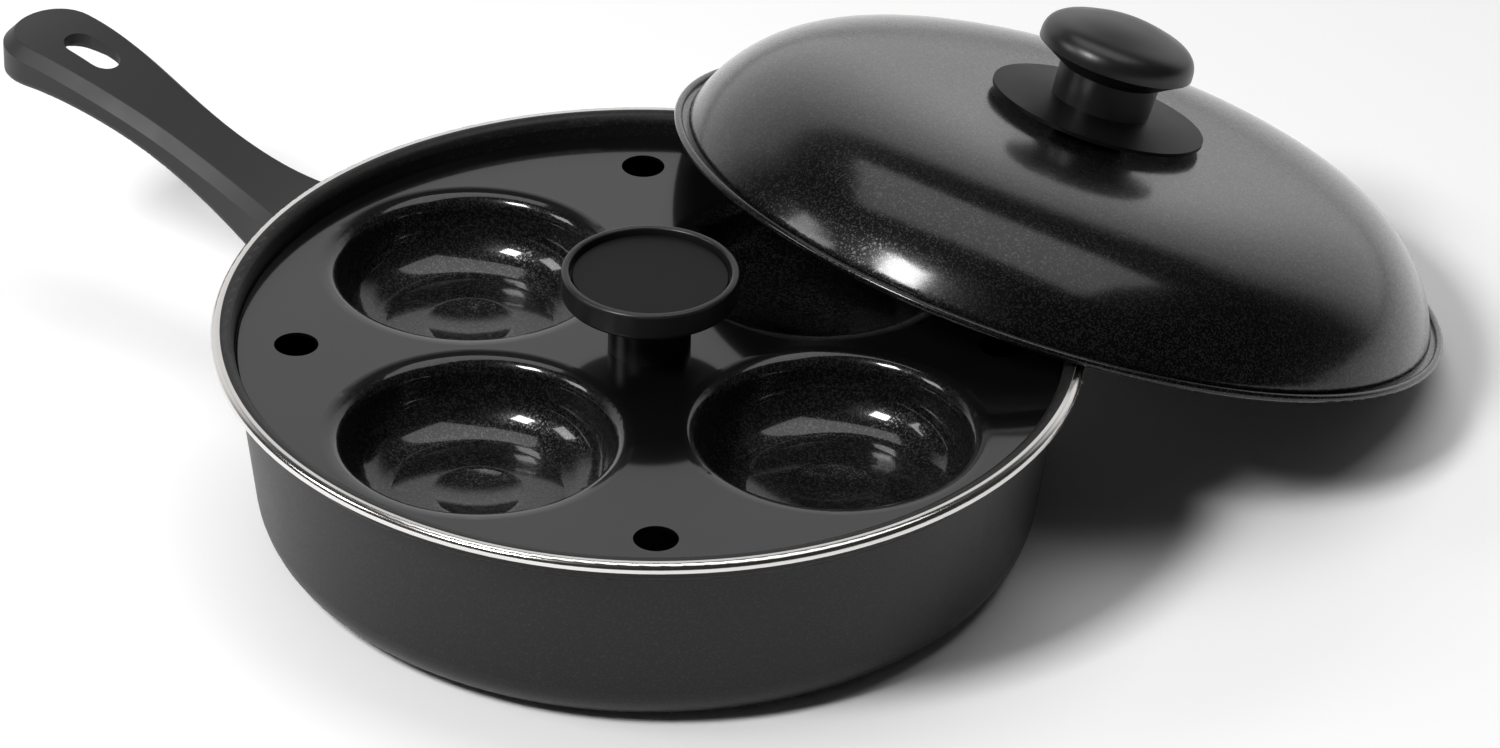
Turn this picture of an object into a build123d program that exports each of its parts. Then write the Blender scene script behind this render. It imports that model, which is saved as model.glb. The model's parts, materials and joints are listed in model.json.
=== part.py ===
from build123d import *
from math import atan2, cos, pi, sin, sqrt
import os

# Egg poacher pan: a shallow stovetop pan with a long handle, a lift-out tray with four egg cups
# and a domed lid that leans on the pan. Origin at the centre of the pan's base on the table,
# +Z up, the handle runs along -X. Lengths in millimetres, angles in degrees.

# Pan: one pressed sheet with a rounded base corner, a small seat step and a lip that turns down
pan_height = 60.8
pan_lip_radius = 120.0
pan_sheet = 1.2
pan_lip_width = 5.1
pan_lip_drop = 1.2
lip_bend_round = 0.6
pan_neck_height = 8.3
pan_neck_draft = 0.2
pan_step_width = 1.4
pan_step_rise = 0.6
pan_wall_taper = 6.6
pan_corner_radius = 14.2
step_foot_round = 0.3
step_top_round = 0.3
lip_root_round = 1.8

# Tray: one pressed plate with four cups and four steam holes
tray_sheet = 1.0
tray_edge_gap = 0.6
tray_rest_gap = 0.1
tray_edge_round = 0.35
tray_turn = 39.2
cup_rim_margin = 5.2
cup_wide_web = 10.6
cup_narrow_web = 1.9
cup_depth = 19.0
cup_draft = 1.5
cup_dish_width = 4.3
cup_dish_drop = 1.0
cup_dish_flat = 1.5
cup_dish_share = 0.95
cup_lip_round = 3.0
cup_corner_round = 13.0
dimple_radius = 12.5
dimple_depth = 1.4
dimple_slope = 6.2
dimple_floor_share = 0.92
dimple_edge_share = 0.1
steam_hole_radius = 6.1
steam_hole_margin = 10.2
steam_hole_turn = -1.5

# Tray knob: a stem with a disc on top, and an inlay in the disc's raised ring
stem_radius = 11.4
stem_height = 16.2
tray_knob_radius = 24.4
tray_knob_thickness = 7.9
tray_knob_top_round = 0.9
tray_knob_foot_round = 1.4
ring_width = 2.2
ring_depth = 3.2
ring_inner_round = 0.7
inlay_gap = 0.6
inlay_thickness = 1.4
inlay_round = 0.6

# Threaded inserts and the screws that hold the knobs, one size for both knobs
insert_radius = 4.4
insert_length = 11.0
insert_inset = 0.5
screw_radius = 2.4
screw_clearance = 0.2
screw_head_radius = 4.8
screw_head_height = 2.8
screw_tip_gap = 1.4
thread_gap = 0.05
washer_radius = 7.5
washer_thickness = 1.0
drive_slot_width = 1.2
drive_slot_depth = 1.2
drive_slot_reach = 3.0

# Lid: a flat-topped dome with a gutter and a rolled bead at its rim, sized to sit on the pan's lip
lid_sheet = 1.0
lid_seat_inset = 1.2
lid_bead_radius = 1.2
lid_gutter_width = 2.8
lid_gutter_drop = 0.2
lid_gutter_sheet = 0.8
lid_dome_height = 33.2
lid_dome_foot = 0.5
lid_dome_fullness = 6.0
lid_shoulder_power = 1.28
lid_curve_points = 14

# Lid pose: its lower edge by the table, its upper edge just past the tray knob, and tilted
# until its rim meets the pan's lip
lid_past_knob = 9.4
lid_bearing = 74.5
lid_tilt_bearing = 72.7
lid_table_gap = 0.3
lid_rest_gap = 0.3
lid_tilt_limit = 60.0
lid_tilt_steps = 40
lip_sample_count = 720

# Lid knob: a mushroom cap on a neck, above a thin heat guard
guard_radius = 31.2
guard_edge_lift = 3.2
guard_rise = 1.6
guard_sheet = 1.1
guard_hub_radius = 10.0
guard_gap = 0.05
neck_radius = 14.3
neck_flare = 0.4
neck_length = 9.5
cap_radius = 22.6
cap_underside_rise = 5.0
cap_edge_band = 1.0
cap_crown = 10.2

# Handle: a moulded grip, wide at both ends and narrow at the waist
grip_wall_gap = 1.9
grip_length = 110.3
grip_over_tongue = 4.7
grip_rise = 24.2
grip_top_bend_shares = (0.1, 1.17)
grip_under_tongue = 15.0
grip_bottom_rise = 29.3
grip_bottom_bend_shares = (0.46, 1.41)
grip_root_half_width = 16.4
grip_waist_half_width = 11.8
grip_tip_radius = 15.8
grip_waist_share = 0.45
grip_root_flare = 0.32
grip_bevel = 3.2
grip_edge_round = 0.5
grip_foot_round = 2.4
grip_wall = 2.4
slot_length = 18.0
slot_width = 9.8
slot_from_tip = 28.3
slot_wall = 3.2
pocket_length = 36.0

# Bracket that joins the handle to the pan, its rivets and the handle screw
bracket_gap = 0.3
bracket_sheet = 1.5
bracket_below_lip = 9.7
bracket_margin = 0.3
bracket_side_margin = 1.4
tongue_set = 0.7
tongue_width = 12.0
tongue_thickness = 3.2
tongue_reach = 26.5
socket_gap = 0.3
rivet_radius = 2.0
rivet_gap = 0.1
rivet_spacing = 13.6
rivet_tongue_gap = 0.2
rivet_head_radius = 2.8
rivet_head_height = 1.3
handle_screw_reach = 17.5
handle_screw_radius = 2.0
handle_screw_head_radius = 3.6
handle_screw_head_height = 1.6
handle_screw_clearance = 0.2


def offset_points(points, distance):
    # Moves an open run of points sideways, to the left of its direction
    units = []
    for a, b in zip(points, points[1:]):
        length = sqrt((b[0] - a[0]) ** 2 + (b[1] - a[1]) ** 2)
        units.append(((b[0] - a[0]) / length, (b[1] - a[1]) / length))
    normals = [(-u[1], u[0]) for u in units]
    pairs = [(normals[0], normals[0])] + list(zip(normals, normals[1:])) + [(normals[-1], normals[-1])]
    moved = []
    for p, (n, m) in zip(points, pairs):
        share = distance / (1 + n[0] * m[0] + n[1] * m[1])
        moved.append((p[0] + (n[0] + m[0]) * share, p[1] + (n[1] + m[1]) * share))
    return moved


def turn_sides(points):
    # Plus one where the run turns left at an inner point, minus one where it turns right
    sides = []
    for a, b, c in zip(points, points[1:], points[2:]):
        cross = (b[0] - a[0]) * (c[1] - b[1]) - (b[1] - a[1]) * (c[0] - b[0])
        sides.append(1 if cross > 0 else -1)
    return sides


def rounded_run(points, radii):
    # Lines and tangent arcs through the points, one radius for each inner point
    edges = []
    start = points[0]
    for a, b, c, radius in zip(points, points[1:], points[2:], radii):
        into = (Vector(*b) - Vector(*a)).normalized()
        out = (Vector(*c) - Vector(*b)).normalized()
        half_turn = into.get_angle(out) * pi / 180 / 2
        reach = radius * sin(half_turn) / cos(half_turn)
        arc_start = Vector(*b) - into * reach
        arc_end = Vector(*b) + out * reach
        to_middle = (out - into).normalized()
        arc_middle = Vector(*b) + to_middle * (radius / cos(half_turn) - radius)
        edges.append(Line(start, arc_start))
        edges.append(ThreePointArc(arc_start, arc_middle, arc_end))
        start = arc_end
    edges.append(Line(start, points[-1]))
    return edges


def round_for(corner, reach):
    # The radius whose arc starts the given reach away from the middle one of three points
    start, middle, end = [Vector(*point) for point in corner]
    half_turn = (middle - start).get_angle(end - middle) * pi / 180 / 2
    return reach * cos(half_turn) / sin(half_turn)


def sheet_section(points, radii, thickness):
    # A sheet of even thickness to the left of the run, as a face in the XY plane
    moved = offset_points(points, thickness)
    moved_radii = [r - side * thickness for r, side in zip(radii, turn_sides(points))]
    edges = rounded_run(points, radii) + rounded_run(moved, moved_radii)
    edges += [Line(points[0], moved[0]), Line(points[-1], moved[-1])]
    return make_face(edges)


def spun(section):
    # Turns a section drawn as radius and height into a ring about the Z axis
    return revolve(Plane.XZ * section, Axis.Z, 360)


def spun_outline(points):
    return spun(make_face(Polyline(*points, close=True)))


def post(radius, height, base=0.0):
    # A plain cylinder standing on the given height
    return Pos(0, 0, base) * Cylinder(radius, height, align=(Align.CENTER, Align.CENTER, Align.MIN))


def save(shape, name, colour):
    shape.label = name
    shape.color = Color(colour)
    export_step(shape, "parts/" + name + ".step")


os.makedirs("parts", exist_ok=True)

# Pan body, drawn from the middle of the base outward and up to the lip's edge
neck_top_radius = pan_lip_radius - pan_lip_width
neck_radius_at_step = neck_top_radius - pan_neck_draft
step_radius = neck_radius_at_step - pan_step_width
base_radius = step_radius - pan_wall_taper
neck_base_height = pan_height - pan_neck_height
step_height = neck_base_height - pan_step_rise
lip_under_height = pan_height - pan_sheet
lip_bend_radius = pan_lip_radius - pan_sheet
pan_points = [(0, 0), (base_radius, 0), (step_radius, step_height), (neck_radius_at_step, neck_base_height),
              (neck_top_radius, lip_under_height), (lip_bend_radius, lip_under_height),
              (lip_bend_radius, lip_under_height - pan_lip_drop)]
pan_radii = [pan_corner_radius, step_foot_round, step_top_round + pan_sheet, lip_root_round, lip_bend_round]
pan_body = spun(sheet_section(pan_points, pan_radii, pan_sheet))

# Bracket and rivet heights, down from the lip: plate, tongue across its top, rivets below the tongue
plate_high = pan_height - bracket_below_lip
tongue_height = plate_high - tongue_set
rivet_height = tongue_height - tongue_thickness / 2 - rivet_tongue_gap - rivet_head_radius
plate_low = rivet_height - rivet_head_radius - bracket_margin

# Rivet bores through the wall
rivet_bores = [Pos(-pan_lip_radius, side * rivet_spacing / 2, rivet_height) * Rot(0, 90, 0)
               * Cylinder(rivet_radius + rivet_gap, pan_lip_radius / 2) for side in (-1, 1)]
pan_body -= rivet_bores
save(pan_body, "pan_body", "black")


def wall_radius(height):
    # Outer radius of the tapered wall at a height
    return base_radius + (step_radius - base_radius) * height / step_height


# Bracket: a curved plate against the wall and a flat tongue that runs into the handle
plate_low_radius = wall_radius(plate_low) + bracket_gap
plate_high_radius = wall_radius(plate_high) + bracket_gap
plate_ring = spun_outline([(plate_low_radius, plate_low), (plate_low_radius + bracket_sheet, plate_low),
                           (plate_high_radius + bracket_sheet, plate_high), (plate_high_radius, plate_high)])
bracket_width = rivet_spacing + 2 * (rivet_head_radius + bracket_side_margin)
plate_window = Pos(-pan_lip_radius, 0, tongue_height) * Box(pan_lip_radius, bracket_width, pan_height)
grip_start = neck_radius_at_step + grip_wall_gap
tongue_start = wall_radius(tongue_height) + bracket_gap + bracket_sheet / 2
tongue_end = grip_start + tongue_reach
tongue = (Pos(-(tongue_start + tongue_end) / 2, 0, tongue_height)
          * Box(tongue_end - tongue_start, tongue_width, tongue_thickness))
screw_axis = Pos(-(grip_start + handle_screw_reach), 0, 0)
handle_bracket = plate_ring & plate_window
handle_bracket += tongue
handle_bracket -= rivet_bores
handle_bracket -= screw_axis * post(handle_screw_radius + thread_gap, pan_height)
save(handle_bracket, "handle_bracket", "gray")

# Two rivets, each with a round head inside the pan and a flat tail over the plate
rivet_outer_reach = rivet_spacing / 2 + rivet_head_radius
inner_radius = min(plate_low_radius, plate_high_radius) - bracket_gap - pan_sheet
rivet_head_face = sqrt(inner_radius ** 2 - rivet_outer_reach ** 2) - bracket_gap
rivet_tail_face = max(plate_low_radius, plate_high_radius) + bracket_sheet
rivet_run = rivet_tail_face - rivet_head_face
rivet_tail_top = rivet_run + rivet_head_height / 2
rivet_section = [(0, -rivet_head_height), (rivet_head_radius / 2, -rivet_head_height), (rivet_head_radius, 0),
                 (rivet_radius, 0), (rivet_radius, rivet_run), (rivet_head_radius, rivet_run),
                 (rivet_head_radius, rivet_tail_top), (0, rivet_tail_top)]
rivet = spun_outline(rivet_section)
rivets = Compound([Pos(-rivet_head_face, side * rivet_spacing / 2, rivet_height) * Rot(0, -90, 0) * rivet
                   for side in (-1, 1)])
save(rivets, "bracket_rivets", "silver")


def curve_height(controls, share):
    # Height at a share of the grip's length, on the curve that the four heights control
    first, second, third, last = controls
    rest = 1 - share
    middle = 3 * rest * share * (second * rest + third * share)
    return first * rest ** 3 + middle + last * share ** 3


def side_prism(top_controls, bottom_controls):
    # The grip's side view, between its top and bottom curves, as a wide prism
    reaches = [-(grip_start + grip_length * step / 3) for step in range(4)]
    top_curve = Bezier(*zip(reaches, top_controls))
    bottom_curve = Bezier(*zip(reaches, bottom_controls))
    ends = [Line(top_curve @ 0, bottom_curve @ 0), Line(top_curve @ 1, bottom_curve @ 1)]
    side_view = make_face([top_curve, bottom_curve] + ends)
    return Pos(0, grip_length, 0) * extrude(Plane.XZ * side_view, 2 * grip_length)


def rim_edges(grip, side):
    # The edges round one of the grip's two broad faces, all but the one at the root
    broad_faces = grip.faces().sort_by(SortBy.AREA)[-2:].sort_by(Axis.Z)
    return broad_faces[side].edges().sort_by(Axis.X)[:-1]


# Grip: its side view and its plan view cut from one block, with a bevel round its top
grip_root_top = tongue_height + grip_over_tongue
grip_top_heights = [grip_root_top + grip_rise * share for share in (0,) + grip_top_bend_shares + (1,)]
grip_root_bottom = tongue_height - grip_under_tongue
grip_bottom_heights = [grip_root_bottom + grip_bottom_rise * share
                       for share in (0,) + grip_bottom_bend_shares + (1,)]
grip_end = grip_start + grip_length
grip_tip_centre = grip_end - grip_tip_radius
waist_reach = grip_start + grip_length * grip_waist_share
plan_side = Spline((-grip_start, grip_root_half_width), (-waist_reach, grip_waist_half_width),
                   (-grip_tip_centre, grip_tip_radius), tangents=((-1, -grip_root_flare), (-1, 0)))
plan_tip = ThreePointArc((-grip_tip_centre, grip_tip_radius), (-grip_end, 0),
                         (-grip_tip_centre, -grip_tip_radius))
plan_root = Line((-grip_start, grip_root_half_width), (-grip_start, -grip_root_half_width))
plan_face = make_face([plan_side, mirror(plan_side, Plane.XZ), plan_tip, plan_root])
handle_grip = extrude(plan_face, grip_end) & side_prism(grip_top_heights, grip_bottom_heights)

handle_grip = chamfer(rim_edges(handle_grip, -1), grip_bevel)
handle_grip = fillet(rim_edges(handle_grip, 0), grip_foot_round)
handle_grip = fillet(rim_edges(handle_grip, -1), grip_edge_round)

# Hanging slot through the grip's end, which is hollow underneath
slot_centre = grip_end - slot_from_tip
handle_grip -= Pos(-slot_centre, 0) * extrude(SlotOverall(slot_length, slot_width), grip_end)
pocket_width = 2 * (grip_tip_radius - grip_wall)
pocket_centre = grip_end - grip_wall - pocket_length / 2
pocket_roof_heights = [height - slot_wall for height in grip_top_heights]
pocket_view = side_prism(pocket_roof_heights, [height - grip_end for height in grip_bottom_heights])
pocket = Pos(-pocket_centre, 0) * extrude(SlotOverall(pocket_length, pocket_width), grip_end)
handle_grip -= pocket & pocket_view

# Socket for the tongue, and the screw's bore and seat under it
socket_length = tongue_reach + socket_gap
handle_grip -= (Pos(-(grip_start + socket_length / 2), 0, tongue_height)
                * Box(socket_length, tongue_width + 2 * socket_gap, tongue_thickness + 2 * socket_gap))
socket_floor = tongue_height - tongue_thickness / 2 - socket_gap
grip_floor = curve_height(grip_bottom_heights, handle_screw_reach / grip_length)
handle_screw_seat = (socket_floor + grip_floor) / 2
handle_grip -= screw_axis * post(handle_screw_radius + handle_screw_clearance, tongue_height)
handle_grip -= screw_axis * post(handle_screw_head_radius + handle_screw_clearance, handle_screw_seat)
save(handle_grip, "handle_grip", "black")


def driver_cross(height):
    # A cross slot for the screwdriver, cut into a head whose face is at the height
    bar = Box(2 * drive_slot_reach, drive_slot_width, 2 * drive_slot_depth)
    return Pos(0, 0, height) * (bar + Rot(0, 0, 90) * bar)


def upward_screw(shank_radius, head_radius, head_height, seat, tip):
    # A screw that points up, its head under the seat
    screw = post(shank_radius, tip - seat, seat) + post(head_radius, head_height, seat - head_height)
    return screw - driver_cross(seat - head_height)


handle_screw = screw_axis * upward_screw(handle_screw_radius, handle_screw_head_radius,
                                         handle_screw_head_height, handle_screw_seat,
                                         tongue_height + tongue_thickness / 2)
save(handle_screw, "handle_screw", "silver")

# Tray: a flat plate with four cups that hang from rounded mouths, all pressed from one sheet
tray_top = step_height + pan_sheet + tray_rest_gap + tray_sheet
tray_radius = neck_radius_at_step - pan_sheet - tray_edge_gap
cup_reach = tray_radius - cup_rim_margin
half_webs = (cup_wide_web + cup_narrow_web) / 2
web_squares = (cup_wide_web ** 2 + cup_narrow_web ** 2) / 4
cup_joint_radius = sqrt((half_webs + cup_reach) ** 2 + cup_reach ** 2 - web_squares) - half_webs - cup_reach
cup_across = cup_joint_radius + cup_wide_web / 2
cup_along = cup_joint_radius + cup_narrow_web / 2
cup_dish_radius = cup_joint_radius - cup_dish_flat
cup_mouth_radius = cup_dish_radius - cup_dish_width
dimple_floor = -cup_depth - dimple_depth
dimple_foot = dimple_radius - dimple_slope
cup_points = [(0, dimple_floor), (dimple_foot, dimple_floor), (dimple_radius, -cup_depth),
              (cup_mouth_radius - cup_draft, -cup_depth), (cup_mouth_radius, -cup_dish_drop),
              (cup_dish_radius, 0), (cup_joint_radius, 0)]
dimple_floor_round = round_for(cup_points[0:3], dimple_slope * dimple_floor_share)
dimple_edge_round = round_for(cup_points[1:4], dimple_slope * dimple_edge_share)
cup_dish_round = round_for(cup_points[4:7], cup_dish_flat * cup_dish_share)
cup_radii = [dimple_floor_round, dimple_edge_round + tray_sheet, cup_corner_round, cup_lip_round + tray_sheet,
             cup_dish_round]
cup = spun(sheet_section(cup_points, cup_radii, -tray_sheet))
tray_plate = post(tray_radius, tray_sheet, -tray_sheet)
tray_plate = fillet(tray_plate.edges().filter_by(GeomType.CIRCLE), tray_edge_round)
cup_places = [Pos(side * cup_across, end * cup_along) for side in (1, -1) for end in (1, -1)]
hole_reach = tray_radius - steam_hole_radius - steam_hole_margin
hole_places = PolarLocations(hole_reach, len(cup_places), steam_hole_turn)
for place in cup_places:
    tray_plate -= place * Cylinder(cup_joint_radius, cup_depth)
    tray_plate += place * cup
tray_plate -= [place * Cylinder(steam_hole_radius, cup_depth) for place in hole_places]
tray_plate -= Cylinder(screw_radius + screw_clearance, cup_depth)
tray_place = Pos(0, 0, tray_top) * Rot(0, 0, tray_turn)
save(tray_place * tray_plate, "poacher_tray", "black")

# Tray knob: stem, disc with a raised ring, and a bore for the threaded insert
knob_top = stem_height + tray_knob_thickness
ring_floor = knob_top - ring_depth
disc = post(tray_knob_radius, tray_knob_thickness, stem_height)
disc = fillet(disc.edges().group_by(Axis.Z)[0], tray_knob_foot_round)
disc = fillet(disc.edges().group_by(Axis.Z)[-1], tray_knob_top_round)
disc -= post(tray_knob_radius - ring_width, ring_depth, ring_floor)
disc = fillet(disc.edges().group_by(Axis.Z)[-1].sort_by(SortBy.RADIUS)[0], ring_inner_round)
tray_knob = disc + post(stem_radius, stem_height + ring_width)
insert_bore = post(insert_radius + thread_gap, insert_length + insert_inset)
tray_knob -= insert_bore
save(tray_place * tray_knob, "tray_knob", "black")

# Inlay disc in the knob's ring
inlay = post(tray_knob_radius - ring_width - inlay_gap, inlay_thickness, ring_floor)
inlay = fillet(inlay.edges().group_by(Axis.Z)[-1], inlay_round)
save(tray_place * inlay, "tray_knob_inlay", "black")

# Threaded insert, screw and washer, the same for both knobs, drawn from the knob's foot up
insert = post(insert_radius, insert_length, insert_inset)
insert -= post(screw_radius + thread_gap, insert_length, insert_inset)
save(tray_place * insert, "tray_knob_insert", "gold")
insert_top = insert_inset + insert_length
tray_washer_seat = -tray_sheet - washer_thickness
washer = post(washer_radius, washer_thickness) - post(screw_radius + screw_clearance, washer_thickness)
save(tray_place * Pos(0, 0, tray_washer_seat) * washer, "tray_knob_washer", "silver")
tray_screw = upward_screw(screw_radius, screw_head_radius, screw_head_height, tray_washer_seat,
                          insert_top - screw_tip_gap)
save(tray_place * tray_screw, "tray_knob_screw", "silver")


# Lid radii, from the pan's neck outward to the bead and inward to the dome
bead_centre = neck_top_radius - lid_seat_inset
dome_radius = bead_centre - lid_gutter_width


def dome_point(share):
    # A point on the dome's outer face, from its middle at share zero to its foot at one
    reach = sin(share * pi / 2)
    rise = (1 - reach ** lid_dome_fullness) ** (1 / lid_shoulder_power)
    return dome_radius * reach, lid_dome_foot + (lid_dome_height - lid_dome_foot) * rise


# Lid: dome, gutter and bead as one pressed sheet, drawn about its own axis
outer_dome = [dome_point(step / lid_curve_points) for step in range(lid_curve_points + 1)]
inner_dome = [(0, lid_dome_height - lid_sheet)]
for before, here, after in zip(outer_dome, outer_dome[1:], outer_dome[2:]):
    slope = atan2(after[1] - before[1], after[0] - before[0])
    inner_dome.append((here[0] + lid_sheet * sin(slope), here[1] - lid_sheet * cos(slope)))
inner_dome.append((dome_radius - lid_sheet, lid_dome_foot))
gutter_floor = -lid_gutter_drop - lid_gutter_sheet
dome_edges = [Spline(*outer_dome, tangents=((1, 0), (0, -1))), Spline(*inner_dome, tangents=((1, 0), (0, -1))),
              Line(outer_dome[0], inner_dome[0]),
              Polyline(outer_dome[-1], (dome_radius, gutter_floor), (dome_radius - lid_sheet, gutter_floor),
                       inner_dome[-1])]
gutter = (Pos(bead_centre, gutter_floor)
          * Rectangle(lid_gutter_width + lid_sheet, lid_gutter_sheet, align=(Align.MAX, Align.MIN)))
bead = Pos(bead_centre, 0) * Circle(lid_bead_radius)
lid_shell = spun(make_face(dome_edges) + gutter + bead)
lid_shell -= post(screw_radius + screw_clearance, lid_dome_height + guard_gap)

# Circles along the top of the pan's lip, as radius and height, that the leaning lid has to clear
lip_corner = pan_sheet + lip_bend_round
lip_corner_cut = lip_corner * (1 - cos(pi / 4))
lip_circles = ((neck_top_radius + lip_root_round, pan_height), (pan_lip_radius - lip_corner, pan_height),
               (pan_lip_radius - lip_corner_cut, pan_height - lip_corner_cut),
               (pan_lip_radius, pan_height - lip_corner))
lid_reach = tray_knob_radius + lid_past_knob + lid_bead_radius + bead_centre


def lid_pose(tilt):
    # The lid's place when it leans by the tilt with its lower edge by the table
    height = lid_table_gap + lid_bead_radius + bead_centre * sin(tilt * pi / 180)
    return (Rot(0, 0, lid_bearing) * Pos(lid_reach, 0, height)
            * Rot(0, 0, lid_tilt_bearing - lid_bearing) * Rot(0, tilt, 0))


def clears_lip(tilt):
    # True where every point of the lip lies inside the dome's foot or under the bead
    tilt_angle = tilt * pi / 180
    turn = (lid_bearing - lid_tilt_bearing) * pi / 180
    height = lid_table_gap + lid_bead_radius + bead_centre * sin(tilt_angle)
    for step in range(lip_sample_count):
        angle = 2 * pi * step / lip_sample_count
        for radius, lip_height in lip_circles:
            along = radius * cos(angle) - lid_reach * cos(turn)
            across = radius * sin(angle) - lid_reach * sin(turn)
            out = along * cos(tilt_angle) - (lip_height - height) * sin(tilt_angle)
            up = along * sin(tilt_angle) + (lip_height - height) * cos(tilt_angle)
            inside = sqrt(out ** 2 + across ** 2) < dome_radius - lid_sheet - lid_rest_gap
            if not inside and up > -lid_bead_radius - lid_rest_gap:
                return False
    return True


# The smallest tilt that clears the lip, found by halving
low_tilt, high_tilt = 0, lid_tilt_limit
for step in range(lid_tilt_steps):
    middle_tilt = (low_tilt + high_tilt) / 2
    if clears_lip(middle_tilt):
        high_tilt = middle_tilt
    else:
        low_tilt = middle_tilt
lid_place = lid_pose(high_tilt)
save(lid_place * lid_shell, "lid_shell", "black")

# Heat guard: a thin shallow cone on a hub that stands on the dome
guard_foot = lid_dome_height + guard_gap
guard_edge_height = lid_dome_height + guard_edge_lift
guard_top = guard_edge_height + guard_rise
guard_bore = screw_radius + screw_clearance
guard_edge_foot = guard_edge_height - guard_sheet
heat_guard = spun_outline([(guard_bore, guard_foot), (guard_hub_radius, guard_foot),
                           (guard_hub_radius, guard_top - guard_sheet), (guard_radius, guard_edge_foot),
                           (guard_radius, guard_edge_height), (neck_radius, guard_top), (guard_bore, guard_top)])
save(lid_place * heat_guard, "lid_heat_guard", "black")

# Lid knob: neck, spreading underside, narrow edge band and a crowned top
neck_top_height = guard_top + neck_length
cap_edge_height = neck_top_height + cap_underside_rise
cap_band_top = cap_edge_height + cap_edge_band
knob_edges = [Polyline((0, cap_band_top + cap_crown), (0, guard_top), (neck_radius, guard_top),
                       (neck_radius + neck_flare, neck_top_height), (cap_radius, cap_edge_height),
                       (cap_radius, cap_band_top)),
              Spline((cap_radius, cap_band_top),
                     (cap_radius * cos(pi / 4), cap_band_top + cap_crown * sin(pi / 4)),
                     (0, cap_band_top + cap_crown), tangents=((0, 1), (-1, 0)))]
lid_knob = spun(make_face(knob_edges))
lid_knob -= Pos(0, 0, guard_top) * insert_bore
save(lid_place * lid_knob, "lid_knob", "black")

# Lid knob's insert, and the washer and screw inside the lid
save(lid_place * Pos(0, 0, guard_top) * insert, "lid_knob_insert", "gold")
lid_washer_seat = lid_dome_height - lid_sheet - guard_gap - washer_thickness
save(lid_place * Pos(0, 0, lid_washer_seat) * washer, "lid_knob_washer", "silver")
lid_screw = upward_screw(screw_radius, screw_head_radius, screw_head_height, lid_washer_seat,
                         guard_top + insert_top - screw_tip_gap)
save(lid_place * lid_screw, "lid_knob_screw", "silver")
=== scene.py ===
import json
from math import radians

import bmesh
import bpy
from mathutils import Matrix, Vector

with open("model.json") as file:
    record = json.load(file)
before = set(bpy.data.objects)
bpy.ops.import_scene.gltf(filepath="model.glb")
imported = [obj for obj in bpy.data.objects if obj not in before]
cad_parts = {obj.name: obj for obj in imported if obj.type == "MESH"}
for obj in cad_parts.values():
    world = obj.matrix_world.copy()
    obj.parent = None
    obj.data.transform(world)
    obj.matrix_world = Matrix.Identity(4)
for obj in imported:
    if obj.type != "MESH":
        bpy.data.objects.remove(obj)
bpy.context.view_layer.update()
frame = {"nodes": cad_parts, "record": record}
MM = 0.001

# Sizes that the finishes follow
BARE_LIP_RADIUS = 117.3 * MM
BARE_LIP_FOOT = 58.3 * MM
LIP_EDGE_FADE = 0.2 * MM
LIP_BEND_RADIUS = 118.2 * MM
LIP_BEND_HEIGHT = 59.0 * MM
TRAY_TURN = radians(39.2)
CUP_ACROSS = 48.05 * MM
CUP_ALONG = 43.7 * MM
CUP_RIM = 41.0 * MM
CUP_RIM_FADE = 6.0 * MM

# The coatings' flakes, as the number of cells in a metre
PAN_FLAKES = 2600.0
TRAY_FLAKES = 2400.0
LID_FLAKES = 2500.0

# Lamps: bearing from the camera's direction, height, width, depth and power
VIEW_TURN = 35.28
LAMP_REACH = 1.8
LAMP_TARGET = (0.0, 0.05, 0.05)
LAMPS = {
    "key_lamp": (132.0, 48.0, 0.40, 0.40, 22.0),
    "left_lamp": (94.0, 32.0, 0.52, 0.44, 5.0),
    "top_lamp": (-30.0, 80.0, 2.0, 1.12, 13.5),
}

# Floor and backdrop
FLOOR_PALER_TO_EYE = 0.12
BACKDROP_LIGHT = 0.8
BACKDROP_SHINE = 0.1
ROOM_LIGHT = 0.03
BACKDROP_TOP = (0.54, 0.68)
BACKDROP_SIDE = (0.35, 0.70)

# Camera
CAMERA_PLACE = (1.0353, -1.4152, 1.1420)
CAMERA_DOWN = 32.02
CAMERA_ROLL = 1.38
CAMERA_LENS = 180.72


def put(tree, kind, inputs=None, **settings):
    # Adds a node, sets its options, and fills or links its sockets
    made = tree.nodes.new(kind)
    for name, value in settings.items():
        setattr(made, name, value)
    for socket, value in (inputs or {}).items():
        if isinstance(value, bpy.types.NodeSocket):
            tree.links.new(value, made.inputs[socket])
        else:
            made.inputs[socket].default_value = value
    return made


def sums(tree, operation, first, second=0.0, third=0.0):
    # One step of arithmetic on numbers or sockets
    return put(tree, "ShaderNodeMath", {0: first, 1: second, 2: third}, operation=operation).outputs[0]


def fade(tree, value, low, high, out_low=0.0, out_high=1.0):
    # Goes smoothly from one value to another as the input passes from low to high
    made = put(tree, "ShaderNodeMapRange", {"Value": value, "From Min": low, "From Max": high,
                                            "To Min": out_low, "To Max": out_high},
               interpolation_type="SMOOTHSTEP")
    return made.outputs["Result"]


def blend_colours(tree, share, first, second):
    # Mixes two colours by a share
    made = put(tree, "ShaderNodeMix", {"Factor": share}, data_type="RGBA")
    for socket, value in ((made.inputs[6], first), (made.inputs[7], second)):
        if isinstance(value, bpy.types.NodeSocket):
            tree.links.new(value, socket)
        else:
            socket.default_value = value
    return made.outputs[2]


def place(tree):
    # The piece's own coordinates, in metres
    return put(tree, "ShaderNodeTexCoord").outputs["Object"]


def grain(tree, here, scale, detail):
    # Cloudy noise from 0 to 1
    return put(tree, "ShaderNodeTexNoise", {"Vector": here, "Scale": scale, "Detail": detail,
                                            "Roughness": 0.5}).outputs["Fac"]


def flakes(tree, here, scale):
    # A random colour for each small cell, as in a coating with metal flakes
    return put(tree, "ShaderNodeTexVoronoi", {"Vector": here, "Scale": scale}).outputs["Color"]


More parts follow.
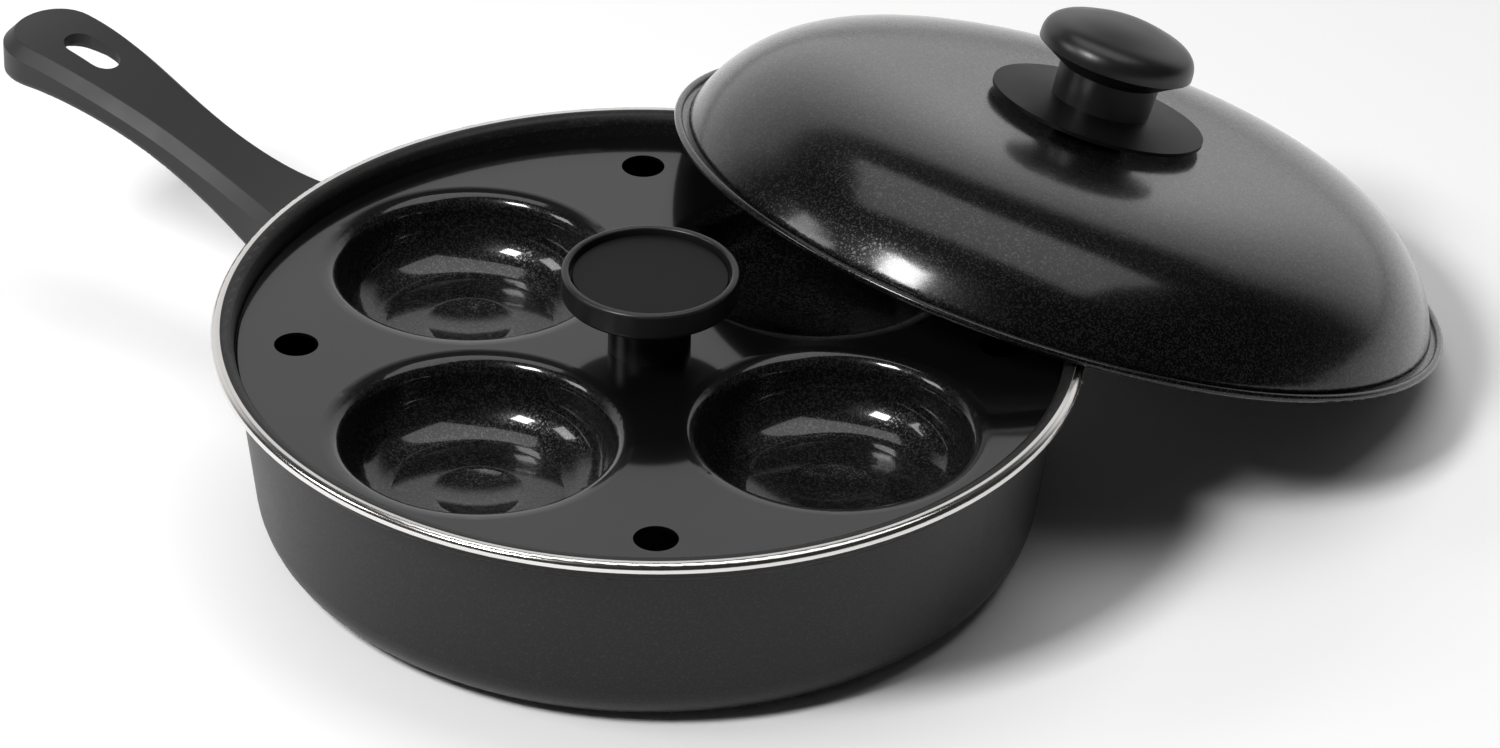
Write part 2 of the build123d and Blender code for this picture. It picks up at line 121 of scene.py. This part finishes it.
def brightness(tree, colour):
    # One channel of a flake's random colour
    return put(tree, "ShaderNodeSeparateColor", {0: colour}).outputs[0]


def surface_direction(tree):
    # The smooth direction that the surface faces
    return put(tree, "ShaderNodeNewGeometry").outputs["Normal"]


def unit(tree, vector):
    # The vector at length 1
    return put(tree, "ShaderNodeVectorMath", {0: vector}, operation="NORMALIZE").outputs[0]


def leaning(tree, colour, lean):
    # The surface's direction, tipped a little by each flake's colour
    centred = put(tree, "ShaderNodeVectorMath", {0: colour, 1: (0.5, 0.5, 0.5)},
                  operation="SUBTRACT").outputs[0]
    shift = put(tree, "ShaderNodeVectorMath", {0: centred, "Scale": lean}, operation="SCALE").outputs[0]
    tipped = put(tree, "ShaderNodeVectorMath", {0: shift, 1: surface_direction(tree)}, operation="ADD")
    return unit(tree, tipped.outputs[0])


def seen_or_mirrored(tree):
    # 1 for what the camera sees straight, in a mirror or through glass, and 0 for plain light
    rays = put(tree, "ShaderNodeLightPath").outputs
    return sums(tree, "MAXIMUM", rays["Is Camera Ray"],
                sums(tree, "MAXIMUM", rays["Is Glossy Ray"], rays["Is Transmission Ray"]))


def finish(name):
    # A new material, its node tree and its main shader
    material = bpy.data.materials.new(name)
    material.use_nodes = True
    shader = material.node_tree.nodes["Principled BSDF"]
    return material, material.node_tree, shader


def feed(tree, shader, **sockets):
    # Links or sets the shader's sockets by name, with spaces written as underscores
    for name, value in sockets.items():
        socket = shader.inputs[name.replace("_", " ")]
        if isinstance(value, bpy.types.NodeSocket):
            tree.links.new(value, socket)
        else:
            socket.default_value = value


def dimpled(tree, height, distance):
    # The surface's direction on fine bumps
    return put(tree, "ShaderNodeBump", {"Height": height, "Distance": distance,
                                        "Strength": 0.6}).outputs["Normal"]


def radius_from_axis(tree, x, y):
    # The distance from the upright axis
    return sums(tree, "SQRT", sums(tree, "ADD", sums(tree, "MULTIPLY", x, x), sums(tree, "MULTIPLY", y, y)))


def round_bend(tree, x, y, z):
    # The smooth direction of the lip's rounded bend, where the mesh is coarse
    radius = radius_from_axis(tree, x, y)
    out = sums(tree, "MAXIMUM", sums(tree, "SUBTRACT", radius, LIP_BEND_RADIUS), 0.0)
    rise = sums(tree, "MAXIMUM", sums(tree, "SUBTRACT", z, LIP_BEND_HEIGHT), 0.0)
    share = sums(tree, "DIVIDE", out, radius)
    bend = put(tree, "ShaderNodeCombineXYZ", {0: sums(tree, "MULTIPLY", x, share),
                                              1: sums(tree, "MULTIPLY", y, share), 2: rise}).outputs[0]
    return unit(tree, bend)


def satin_coat(name):
    # The pan: grey-black satin coating with fine flakes, ground bright along the lip
    material, tree, shader = finish(name)
    here = place(tree)
    x, y, z = put(tree, "ShaderNodeSeparateXYZ", {0: here}).outputs
    flake = flakes(tree, here, PAN_FLAKES)
    cloud = grain(tree, here, 26.0, 3.0)
    fleck = fade(tree, brightness(tree, flake), 0.80, 1.0)
    dark = blend_colours(tree, cloud, (0.0070, 0.0068, 0.0068, 1), (0.0105, 0.0102, 0.0102, 1))
    coat = blend_colours(tree, sums(tree, "MULTIPLY", fleck, 0.4), dark, (0.045, 0.044, 0.043, 1))
    past_radius = fade(tree, radius_from_axis(tree, x, y), BARE_LIP_RADIUS, BARE_LIP_RADIUS + LIP_EDGE_FADE)
    bare = sums(tree, "MULTIPLY", past_radius, fade(tree, z, BARE_LIP_FOOT, BARE_LIP_FOOT + LIP_EDGE_FADE))
    wavy = grain(tree, here, 60.0, 3.0)
    silver = blend_colours(tree, wavy, (0.66, 0.64, 0.62, 1), (0.80, 0.785, 0.77, 1))
    rough_coat = fade(tree, cloud, 0.0, 1.0, 0.38, 0.46)
    rough = sums(tree, "MULTIPLY_ADD", bare, -0.26, rough_coat)
    bend = round_bend(tree, x, y, z)
    alike = put(tree, "ShaderNodeVectorMath", {0: bend, 1: surface_direction(tree)},
                operation="DOT_PRODUCT").outputs["Value"]
    on_bend = sums(tree, "MULTIPLY", bare, fade(tree, alike, 0.5, 0.7))
    normal = put(tree, "ShaderNodeMix", {"Factor": on_bend, 4: leaning(tree, flake, 0.06), 5: bend},
                 data_type="VECTOR")
    feed(tree, shader, Base_Color=blend_colours(tree, bare, coat, silver), Metallic=bare, Roughness=rough,
         Specular_IOR_Level=0.30, Normal=normal.outputs[1])
    return material


def gloss_coat(name):
    # The tray: clear gloss over black, with metal flakes that glitter in the cups
    material, tree, shader = finish(name)
    here = place(tree)
    turned = put(tree, "ShaderNodeMapping", {"Vector": here, "Rotation": (0.0, 0.0, -TRAY_TURN)}).outputs[0]
    split = put(tree, "ShaderNodeSeparateXYZ", {0: turned})
    across = sums(tree, "SUBTRACT", sums(tree, "ABSOLUTE", split.outputs[0]), CUP_ACROSS)
    along = sums(tree, "SUBTRACT", sums(tree, "ABSOLUTE", split.outputs[1]), CUP_ALONG)
    in_cup = fade(tree, radius_from_axis(tree, across, along), CUP_RIM, CUP_RIM - CUP_RIM_FADE)
    flake = flakes(tree, here, TRAY_FLAKES)
    cloud = grain(tree, here, 30.0, 3.0)
    fleck = sums(tree, "MULTIPLY", fade(tree, brightness(tree, flake), 0.55, 0.95), in_cup)
    dark = blend_colours(tree, cloud, (0.0022, 0.0022, 0.0024, 1), (0.0036, 0.0036, 0.0038, 1))
    feed(tree, shader, Base_Color=blend_colours(tree, fleck, dark, (0.050, 0.050, 0.052, 1)),
         Metallic=sums(tree, "MULTIPLY", fleck, 0.8), Roughness=fade(tree, cloud, 0.0, 1.0, 0.26, 0.34),
         Specular_IOR_Level=0.10, Coat_Weight=1.0, Coat_Roughness=0.08, Coat_IOR=1.45,
         Normal=leaning(tree, flake, sums(tree, "MULTIPLY", in_cup, 0.13)))
    return material


def lid_coat(name):
    # The lid: clear gloss over black, with a faint glitter
    material, tree, shader = finish(name)
    here = place(tree)
    cloud = grain(tree, here, 24.0, 3.0)
    flake = flakes(tree, here, LID_FLAKES)
    fleck = fade(tree, brightness(tree, flake), 0.60, 1.0)
    dark = blend_colours(tree, cloud, (0.0010, 0.0010, 0.0011, 1), (0.0018, 0.0018, 0.0020, 1))
    feed(tree, shader, Base_Color=blend_colours(tree, fleck, dark, (0.036, 0.036, 0.038, 1)),
         Metallic=sums(tree, "MULTIPLY", fleck, 0.8), Roughness=fade(tree, cloud, 0.0, 1.0, 0.28, 0.36),
         Specular_IOR_Level=0.08, Coat_Weight=1.0, Coat_Roughness=0.15, Coat_IOR=1.38,
         Normal=leaning(tree, flake, 0.10))
    return material


def moulded_black(name, low, high, rough_low, rough_high, stipple, gloss):
    # Moulded resin, with a slight stipple and cloudy sheen
    material, tree, shader = finish(name)
    here = place(tree)
    cloud = grain(tree, here, 45.0, 4.0)
    fine = grain(tree, here, 1800.0, 2.0)
    feed(tree, shader, Base_Color=blend_colours(tree, cloud, low, high),
         Roughness=fade(tree, cloud, 0.2, 0.8, rough_low, rough_high),
         Specular_IOR_Level=gloss, Normal=dimpled(tree, fine, stipple))
    return material


def turned_metal(name, low, high):
    # Bright metal with fine turning marks
    material, tree, shader = finish(name)
    here = place(tree)
    cloud = grain(tree, here, 90.0, 3.0)
    marks = grain(tree, here, 2500.0, 1.0)
    feed(tree, shader, Base_Color=blend_colours(tree, cloud, low, high), Metallic=1.0,
         Roughness=fade(tree, cloud, 0.2, 0.8, 0.22, 0.38), Normal=dimpled(tree, marks, 0.01 * MM))
    return material


FINISHES = {
    "coated_pan": satin_coat("coated_pan_finish"),
    "coated_tray": gloss_coat("coated_tray_finish"),
    "coated_lid": lid_coat("coated_lid_finish"),
    "black_grip": moulded_black("black_grip_finish", (0.021, 0.021, 0.022, 1), (0.028, 0.028, 0.029, 1),
                                0.42, 0.52, 0.02 * MM, 0.32),
    "black_knob": moulded_black("black_knob_finish", (0.0090, 0.0090, 0.0094, 1), (0.0130, 0.0130, 0.0135, 1),
                                0.28, 0.36, 0.012 * MM, 0.45),
    "heat_guard": moulded_black("heat_guard_finish",
                                (0.0040, 0.0040, 0.0043, 1), (0.0065, 0.0065, 0.0069, 1),
                                0.34, 0.42, 0.012 * MM, 0.08),
    "black_inlay": moulded_black("black_inlay_finish",
                                 (0.0060, 0.0060, 0.0063, 1), (0.0090, 0.0090, 0.0094, 1),
                                 0.32, 0.40, 0.015 * MM, 0.08),
    "brass_insert": turned_metal("brass_insert_finish", (0.66, 0.47, 0.20, 1), (0.78, 0.58, 0.27, 1)),
    "plain_steel": turned_metal("plain_steel_finish", (0.52, 0.52, 0.53, 1), (0.66, 0.66, 0.66, 1)),
}
for part in frame["record"]["subparts"]:
    kind = "heat_guard" if part["node"] == "lid_heat_guard" else part["material_slot"]
    for slot in frame["nodes"][part["node"]].material_slots:
        slot.material = FINISHES[kind]


# Floor: a wide pale matt sheet
def pale_sheet(name):
    # Cloudy white paper, somewhat paler to the eye than the light that it throws back
    material, tree, shader = finish(name)
    cloud = grain(tree, place(tree), 3.0, 3.0)
    pale = blend_colours(tree, cloud, (0.93, 0.93, 0.93, 1), (0.96, 0.96, 0.96, 1))
    gain = sums(tree, "MULTIPLY_ADD", seen_or_mirrored(tree), FLOOR_PALER_TO_EYE, 1.0)
    paler = put(tree, "ShaderNodeVectorMath", {0: pale, "Scale": gain}, operation="SCALE").outputs[0]
    feed(tree, shader, Base_Color=paler, Roughness=0.9, Specular_IOR_Level=0.1)
    return material


floor_mesh = bmesh.new()
bmesh.ops.create_grid(floor_mesh, x_segments=8, y_segments=8, size=4.0)
floor_data = bpy.data.meshes.new("floor")
floor_mesh.to_mesh(floor_data)
floor_mesh.free()
floor = bpy.data.objects.new("floor", floor_data)
floor_data.materials.append(pale_sheet("pale_floor"))
bpy.context.scene.collection.objects.link(floor)


# Lamps
def soft_lamp(name, bearing, height, width, depth, power):
    # A rectangular lamp that looks at the pan's middle, by direction from it
    lamp = bpy.data.lights.new(name, "AREA")
    lamp.shape = "RECTANGLE"
    lamp.size, lamp.size_y = width, depth
    lamp.energy = power
    placed = bpy.data.objects.new(name, lamp)
    out = (Matrix.Rotation(radians(VIEW_TURN + bearing), 3, "Z") @ Matrix.Rotation(radians(height), 3, "X")
           @ Vector((0, 1, 0)))
    placed.location = Vector(LAMP_TARGET) + out * LAMP_REACH
    placed.rotation_euler = out.to_track_quat("Z", "Y").to_euler()
    bpy.context.scene.collection.objects.link(placed)


for lamp_name, lamp_setting in LAMPS.items():
    soft_lamp(lamp_name, *lamp_setting)

# World: a pale backdrop low behind the pan and dark cards elsewhere, plain white where the eye looks
world = bpy.data.worlds.new("studio")
bpy.context.scene.world = world
world.use_nodes = True
tree = world.node_tree
sky = put(tree, "ShaderNodeTexCoord").outputs["Generated"]
turned = put(tree, "ShaderNodeMapping", {"Vector": sky,
                                         "Rotation": (0.0, 0.0, -radians(VIEW_TURN))}).outputs[0]
split = put(tree, "ShaderNodeSeparateXYZ", {0: turned})
backdrop = sums(tree, "MULTIPLY", fade(tree, split.outputs[2], *BACKDROP_TOP, 1.0, 0.0),
                fade(tree, split.outputs[1], *BACKDROP_SIDE))
strength = sums(tree, "MULTIPLY_ADD", seen_or_mirrored(tree), BACKDROP_SHINE, BACKDROP_LIGHT)
lit = sums(tree, "MULTIPLY_ADD", backdrop, strength, ROOM_LIGHT)
level = sums(tree, "MAXIMUM", lit, put(tree, "ShaderNodeLightPath").outputs["Is Camera Ray"])
grey = put(tree, "ShaderNodeCombineColor", {0: level, 1: level, 2: level}).outputs[0]
background = tree.nodes["Background"]
tree.links.new(grey, background.inputs["Color"])
background.inputs["Strength"].default_value = 1.0

# Camera
camera_data = bpy.data.cameras.new("camera")
camera_data.lens = CAMERA_LENS
camera_data.sensor_width = 36.0
camera_data.clip_start = 0.1
camera_data.clip_end = 30.0
camera = bpy.data.objects.new("camera", camera_data)
camera.matrix_world = (Matrix.Translation(CAMERA_PLACE) @ Matrix.Rotation(radians(VIEW_TURN), 4, "Z")
                       @ Matrix.Rotation(radians(90.0 - CAMERA_DOWN), 4, "X")
                       @ Matrix.Rotation(radians(CAMERA_ROLL), 4, "Z"))
bpy.context.scene.collection.objects.link(camera)
bpy.context.scene.camera = camera
bpy.context.scene.view_settings.view_transform = "Standard"
